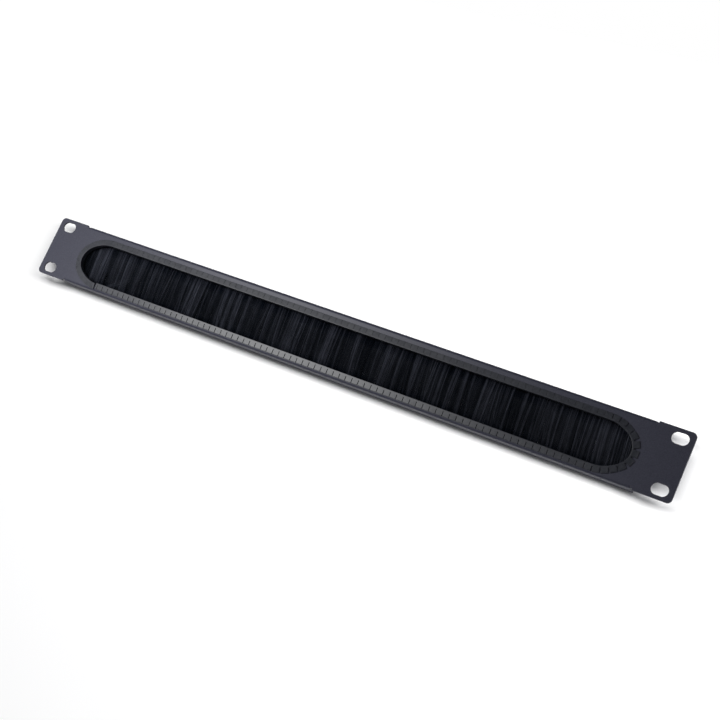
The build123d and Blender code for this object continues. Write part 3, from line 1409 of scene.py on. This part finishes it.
    def grow(
        self, name: str, lines: np.ndarray, tones: np.ndarray, rng: np.random.Generator
    ) -> bpy.types.Object:
        """Copies the filament along many lines into one object.

        Args:
            name: name of the new object.
            lines: places, as filament by step by axis.
            tones: tones, as filament by step.
            rng: source of each copy's turn about its length.

        Returns:
            The object, with the tone as an attribute.
        """
        points, faces = self.model_filament()
        steps = np.unique(points[:, 2].round(3))
        ring = np.searchsorted(steps, points[:, 2].round(3))
        count = len(lines)
        turned = rng.uniform(0, 2 * math.pi, count)[:, None]
        side = self.filament * (points[None, :, 0] * np.cos(turned) - points[None, :, 1] * np.sin(turned))
        front = self.filament * (points[None, :, 0] * np.sin(turned) + points[None, :, 1] * np.cos(turned))
        places = lines[:, ring, :].copy()
        places[:, :, 0] += side
        places[:, :, 1] += front
        # A filament runs down, so each ring is wound the other way
        wound = np.where(faces[:, 3:] < 0, faces[:, [2, 1, 0, 3]], faces[:, ::-1])
        shifts = (np.arange(count) * len(points))[:, None, None]
        every = (wound[None, :, :] + shifts).reshape(-1, 4)
        short = np.tile(wound[:, 3] < 0, count)
        corners = np.where(short, 3, 4)
        keep = np.ones(every.shape, bool)
        keep[short, 3] = False
        shape = bpy.data.meshes.new(name)
        shape.vertices.add(count * len(points))
        shape.vertices.foreach_set("co", places.reshape(-1).astype(np.float32))
        shape.loops.add(int(corners.sum()))
        shape.loops.foreach_set("vertex_index", every[keep].astype(np.int32))
        shape.polygons.add(len(corners))
        starts = np.concatenate(([0], np.cumsum(corners)[:-1]))
        shape.polygons.foreach_set("loop_start", starts.astype(np.int32))
        shape.polygons.foreach_set("loop_total", corners.astype(np.int32))
        shape.update(calc_edges=True)
        tone = shape.attributes.new("tone", "FLOAT", "POINT")
        tone.data.foreach_set("value", tones[:, ring].reshape(-1).astype(np.float32))
        shape.polygons.foreach_set("use_smooth", ~np.isin(corners, [3]))
        item = bpy.data.objects.new(name, shape)
        bpy.context.scene.collection.objects.link(item)
        return item

    def fold(self) -> bpy.types.Object:
        """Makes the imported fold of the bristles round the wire, which shows at the channel's open ends.

        Returns:
            The fold: a leg that is spun over the wire and drawn down again.
        """
        leg = block(
            "bristle_fold",
            (-self.half_length, self.depth - self.fold_radius, self.fold_foot_z),
            (self.half_length, self.depth - self.wire_radius, self.fold_z),
        )
        with editing(leg):
            pick(leg, Element.FACE, lambda face: face.normal.z > FACING)
            bpy.ops.mesh.spin(
                steps=self.fold_steps,
                angle=2 * QUARTER,
                center=(0, self.depth, self.fold_z),
                axis=(1, 0, 0),
            )
            drop = self.fold_foot_z - self.fold_z
            bpy.ops.mesh.extrude_region_move(TRANSFORM_OT_translate={"value": (0, 0, drop)})
        turn_outwards(leg)
        smooth(leg)
        tone = leg.data.attributes.new("tone", "FLOAT", "POINT")
        tone.data.foreach_set("value", np.full(len(leg.data.vertices), self.fold_tone, np.float32))
        return leg

    def build(self, nylon: bpy.types.Material) -> None:
        """Builds the bristles in several pieces and dresses them.

        Args:
            nylon: the bristles' finish.
        """
        rng = np.random.default_rng(self.seed)
        steps = np.linspace(0, 1, self.filament_cuts + 2)
        lines, tones = self.lines(rng, steps)
        share = -(-len(lines) // self.pieces)
        for number in range(self.pieces):
            part = slice(number * share, (number + 1) * share)
            piece = self.grow(f"bristles_{number + 1}", lines[part], tones[part], rng)
            settle(piece, nylon, ("bristles",))
        settle(self.fold(), nylon, ("bristles",))


@dataclass
class Rail:
    """The extruded aluminium rail that holds the brush under the top flange."""

    screw_row: ScrewRow
    half_length: float = BRUSH_HALF
    front_y: float = 1.35
    back_y: float = 6.15
    low_z: float = 13.35
    high_z: float = 19.85
    slot_y: Pair = (2.05, 5.45)
    slot_z: Pair = (13.85, 17.35)
    mouth_y: Pair = (2.45, 5.05)
    hole_steps: int = 32
    rounding: float = 0.12
    overrun: float = 1.0

    def build(self, metal: bpy.types.Material) -> None:
        """Builds the rail and dresses it.

        Args:
            metal: the anodised finish.
        """
        half = self.half_length
        rail = block("holder_rail", (-half, self.front_y, self.low_z), (half, self.back_y, self.high_z))
        past = half + self.overrun
        low, high = self.slot_z
        foot = self.low_z - self.overrun
        for name, (near, far), bottom in (("slot", self.slot_y, low), ("mouth", self.mouth_y, foot)):
            combine(rail, block(name, (-past, near, bottom), (past, far, high)), Joining.CUT)
        bore = 2 * (self.high_z - high) + self.overrun
        for across in self.screw_row.places:
            place = across, self.screw_row.depth, self.high_z
            pin = begin(
                bpy.ops.mesh.primitive_cylinder_add,
                vertices=self.hole_steps, radius=self.screw_row.hole, depth=bore, location=place,
            )
            combine(rail, pin, Joining.CUT)
        turn_outwards(rail)
        soften(rail, self.rounding)
        smooth(rail)
        settle(rail, metal, ("brush_holder",))


@dataclass
class Screws:
    """Five countersunk screws with a cross recess, flush in the top flange."""

    row: ScrewRow
    top_z: float = 21.35
    head_radius: float = 2.35
    head_steps: int = 48
    shank_radius: float = 1.25
    length: float = 4.0
    recess_span: float = 2.6
    recess_width: float = 0.62
    recess_depth: float = 0.9
    recess_foot_share: float = 0.6
    turn: float = 67.0
    rounding: float = 0.07
    overrun: float = 0.5

    def model(self) -> bpy.types.Object:
        """Models one screw with its head at the origin.

        Returns:
            The screw: a disc drawn down to a cone and a shank, with a tapered cross cut in its head.
        """
        screw = begin(
            bpy.ops.mesh.primitive_circle_add,
            vertices=self.head_steps, radius=self.head_radius, fill_type="NGON",
        )
        cone = self.head_radius - self.shank_radius
        narrow = self.shank_radius / self.head_radius
        with editing(screw):
            bpy.ops.mesh.select_all(action="SELECT")
            bpy.ops.mesh.extrude_region_move(TRANSFORM_OT_translate={"value": (0, 0, -cone)})
            bpy.ops.transform.resize(value=(narrow, narrow, 1))
            bpy.ops.mesh.extrude_region_move(TRANSFORM_OT_translate={"value": (0, 0, cone - self.length)})
        turn_outwards(screw)
        for span in ((self.recess_span, self.recess_width), (self.recess_width, self.recess_span)):
            low = (-span[0] / 2, -span[1] / 2, -self.recess_depth)
            flute = block("flute", low, (span[0] / 2, span[1] / 2, self.overrun))
            with editing(flute):
                pick(flute, Element.FACE, lambda face: face.normal.z < -FACING)
                bpy.ops.transform.resize(value=(self.recess_foot_share, self.recess_foot_share, 1))
            combine(screw, flute, Joining.CUT)
        soften(screw, self.rounding, sharp=30.0)
        smooth(screw)
        return screw

    def build(self, zinc: bpy.types.Material) -> None:
        """Copies the screw to its places and dresses the set.

        Args:
            zinc: the plating.
        """
        model = self.model()
        copies = []
        for number, across in enumerate(self.row.places):
            copy = bpy.data.objects.new("screw_copy", model.data.copy())
            bpy.context.scene.collection.objects.link(copy)
            place = Matrix.Translation((across, self.row.depth, self.top_z))
            copy.matrix_world = place @ Matrix.Rotation(math.radians(self.turn * number), 4, "Z")
            copies.append(copy)
        bpy.data.meshes.remove(model.data)
        screws = gather(copies, "rail_screws")
        settle(screws, zinc, ("holder_screws",))


class Reach(Enum):
    """What a lamp lights."""

    PANEL = "everything but the table"
    TABLE = "the table alone"


@dataclass(frozen=True)
class Softbox:
    """A flat lamp that shines at a point of the panel, in metres and watts."""

    name: str
    place: Place
    aim: Place
    size: Pair
    power: float
    reach: Reach = Reach.PANEL

    def shade(self) -> bpy.types.Light:
        """Makes the lamp's light.

        Returns:
            The light.
        """
        light = bpy.data.lights.new(self.name, "AREA")
        light.shape = "RECTANGLE"
        light.size, light.size_y = self.size
        return light

    def hang(self, table: bpy.types.Object) -> None:
        """Hangs the lamp, hidden from the camera.

        Args:
            table: the table, which the lamp either spares or lights alone.
        """
        light = self.shade()
        light.energy = self.power
        lamp = bpy.data.objects.new(self.name, light)
        lamp.location = self.place
        lamp.rotation_euler = (Vector(self.aim) - Vector(self.place)).to_track_quat("-Z", "Y").to_euler()
        lamp.visible_camera = False
        lit = bpy.data.collections.new(f"lit_by_{self.name}")
        lit.objects.link(table)
        lit.collection_objects[0].light_linking.link_state = (
            "INCLUDE" if self.reach is Reach.TABLE else "EXCLUDE"
        )
        lamp.light_linking.receiver_collection = lit
        bpy.context.scene.collection.objects.link(lamp)


@dataclass(frozen=True)
class Snoot(Softbox):
    """A lamp with a thin beam, whose size is the beam's width at its aim and the lamp's own."""

    blend: float = 0.3

    def shade(self) -> bpy.types.Light:
        """Makes the lamp's light.

        Returns:
            The light.
        """
        light = bpy.data.lights.new(self.name, "SPOT")
        reach = (Vector(self.aim) - Vector(self.place)).length
        light.spot_size = 2 * math.atan(self.size[0] / 2 / reach)
        light.spot_blend = self.blend
        light.shadow_soft_size = self.size[1] / 2
        return light


@dataclass
class Studio:
    """White table behind the panel, soft lamps, dark flags, pale surroundings and the camera."""

    table_gap: float = 0.05 * MM
    table_half: float = 0.6
    table_levels: Pair = (-0.45, 0.25)
    table_white: float = 0.95
    table_roughness: float = 0.9
    camera_place: Place = (0.42278, -0.78118, -0.14132)
    camera_turn: Place = (99.777, -23.900, 23.030)
    lens: float = 69.86
    sensor: float = 36.0
    fill: float = 0.135
    fill_colour: Place = (0.96, 0.97, 1.0)
    lamps: tuple[Softbox, ...] = (
        Softbox("key", (-0.28, -0.43, -0.01), (-0.02, 0, 0), (0.22, 0.26), 2.35),
        Softbox("front", (0.7, -1.2, 0.3), (0, 0, 0), (0.7, 0.7), 2.2),
        Softbox("wash", (0.15, -1.4, 0.42), (0.05, 0, 0), (2.4, 0.6), 26.0, Reach.TABLE),
        Softbox("side_wash", (1.5, -1.2, 0.38), (0, 0, 0), (0.7, 0.6), 18.0, Reach.TABLE),
        Softbox("rear", (0.3, 1.4, 0.9), (0, 0, 0), (1.4, 1.4), 20.0),
    )
    slot_centre: Pair = (0.23255, 0.015875)
    beam: Pair = (0.012, 0.01)
    beam_power: float = 1.8
    beam_share: float = 0.45
    flag_half: float = 0.9
    flag_depths: Pair = (-0.9, 0.25)
    flag_height: float = 0.45
    flag_thickness: float = 0.0002
    shade_foot: float = 0.0225
    front_flag: tuple[Place, Place] = ((-0.39, -1.5, -0.5), (0.75, -1.499, 0.9))

    def table(self, behind: float) -> bpy.types.Object:
        """Lays the white table behind the flanges, seen only from its front.

        Args:
            behind: place of the flanges' rear edges along Y, in metres.

        Returns:
            The table.
        """
        foot, top = self.table_levels
        bpy.ops.object.select_all(action="DESELECT")
        bpy.ops.mesh.primitive_plane_add(
            size=1, location=(0, behind + self.table_gap, (foot + top) / 2), rotation=(QUARTER, 0, 0)
        )
        table = bpy.context.object
        table.name = "table"
        table.scale = (2 * self.table_half, top - foot, 1)
        bpy.ops.object.transform_apply(location=True, rotation=True, scale=True)
        table.visible_shadow = False
        shader = Shader("white_table")
        shader.set(Base_Color=(*(self.table_white,) * 3, 1), Roughness=self.table_roughness)
        shader.set(Specular_IOR_Level=0.0)
        tree = shader.tree
        clear = tree.nodes.new("ShaderNodeBsdfTransparent")
        side = tree.nodes.new("ShaderNodeNewGeometry")
        mix = tree.nodes.new("ShaderNodeMixShader")
        tree.links.new(side.outputs["Backfacing"], mix.inputs["Fac"])
        tree.links.new(shader.surface.outputs["BSDF"], mix.inputs[1])
        tree.links.new(clear.outputs["BSDF"], mix.inputs[2])
        tree.links.new(mix.outputs["Shader"], tree.nodes["Material Output"].inputs["Surface"])
        table.data.materials.append(shader.material)
        return table

    def snoots(self) -> list[Snoot]:
        """Aims a thin beam from beside the camera through each slot, so that the table shows pale there.

        Returns:
            The four lamps.
        """
        across, up = self.slot_centre
        lamps = []
        for side in (1, -1):
            for edge in Edge:
                aim = Vector((side * across, 0, edge.value * up))
                place = aim.lerp(Vector(self.camera_place), self.beam_share)
                name = f"slot_beam_{len(lamps) + 1}"
                ends = tuple(place), tuple(aim)
                lamps.append(Snoot(name, *ends, self.beam, self.beam_power, Reach.TABLE))
        return lamps

    def flag(self, name: str, low: Place, high: Place) -> None:
        """Hangs a black card that only reflections show.

        Args:
            name: name of the card.
            low: its lowest corner, in metres.
            high: its highest corner.
        """
        card = block(name, low, high)
        card.visible_camera = card.visible_diffuse = False
        card.visible_transmission = card.visible_shadow = False
        shader = Shader(name)
        shader.set(Base_Color=(0, 0, 0, 1), Specular_IOR_Level=0.0)
        card.data.materials.append(shader.material)

    def surroundings(self) -> None:
        """Sets the world: white where it is seen or mirrored, and a dimmer fill for all else."""
        world = bpy.data.worlds.new("surroundings")
        world.use_nodes = True
        bpy.context.scene.world = world
        tree = world.node_tree
        fill = tree.nodes["Background"]
        fill.inputs["Color"].default_value = (*self.fill_colour, 1)
        fill.inputs["Strength"].default_value = self.fill
        white = tree.nodes.new("ShaderNodeBackground")
        white.inputs["Color"].default_value = (1, 1, 1, 1)
        white.inputs["Strength"].default_value = 1.0
        path = tree.nodes.new("ShaderNodeLightPath").outputs
        seen = path["Is Camera Ray"]
        for kind in ("Is Glossy Ray", "Is Transmission Ray"):
            either = tree.nodes.new("ShaderNodeMath")
            either.operation = "MAXIMUM"
            tree.links.new(seen, either.inputs[0])
            tree.links.new(path[kind], either.inputs[1])
            seen = either.outputs["Value"]
        mix = tree.nodes.new("ShaderNodeMixShader")
        tree.links.new(seen, mix.inputs["Fac"])
        tree.links.new(fill.outputs["Background"], mix.inputs[1])
        tree.links.new(white.outputs["Background"], mix.inputs[2])
        tree.links.new(mix.outputs["Shader"], tree.nodes["World Output"].inputs["Surface"])

    def camera(self) -> None:
        """Places the camera at the photograph's viewing angle."""
        data = bpy.data.cameras.new("camera")
        data.lens = self.lens
        data.sensor_width = self.sensor
        camera = bpy.data.objects.new("camera", data)
        camera.location = self.camera_place
        camera.rotation_euler = [math.radians(turn) for turn in self.camera_turn]
        bpy.context.scene.collection.objects.link(camera)
        bpy.context.scene.camera = camera

    def build(self, behind: float) -> None:
        """Sets up everything around the panel.

        Args:
            behind: place of the flanges' rear edges along Y, in metres.
        """
        table = self.table(behind)
        self.surroundings()
        for lamp in (*self.lamps, *self.snoots()):
            lamp.hang(table)
        half, height = self.flag_half, self.flag_height
        near, far = self.flag_depths
        self.flag("top_flag", (-half, near, height), (half, far, height + self.flag_thickness))
        self.flag("bottom_flag", (-half, near, -height - self.flag_thickness), (half, far, -height))
        foot = -self.table_half, behind - self.flag_thickness, self.shade_foot
        self.flag("table_shade", foot, (self.table_half, behind, height))
        self.flag("front_flag", *self.front_flag)
        self.camera()
        bpy.context.scene.view_settings.view_transform = "Standard"


def dress(node: bpy.types.Object, material: bpy.types.Material) -> None:
    """Gives one of the frame's own nodes its finish.

    Args:
        node: the node.
        material: the finish.
    """
    node.data.materials.clear()
    node.data.materials.append(material)
    LOG.info("%s: dressed", node.name)


def main() -> None:
    """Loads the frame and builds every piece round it."""
    logging.basicConfig(level=logging.INFO, format="%(message)s")
    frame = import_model()
    bpy.ops.object.select_all(action="DESELECT")
    opening = Opening()
    screw_row = ScrewRow()
    Faceplate(opening, screw_row).build(PowderCoat().build())
    EdgingStrip(opening).build(MouldedNylon().build())
    Brush().build(Filament().build())
    aluminium = DrawnMetal("anodised_aluminium", (0.66, 0.67, 0.69), (0.58, 0.59, 0.61), 0.42)
    Rail(screw_row).build(aluminium.build())
    zinc = DrawnMetal("zinc_plated_steel", (0.60, 0.61, 0.62), (0.48, 0.49, 0.50), 0.34).build()
    for name in ("brush_channel", "core_wire"):
        dress(frame["nodes"][name], zinc)
    Screws(screw_row).build(BlackZinc().build())
    Studio().build(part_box("faceplate")[1].y)


if __name__ == "__main__":
    main()
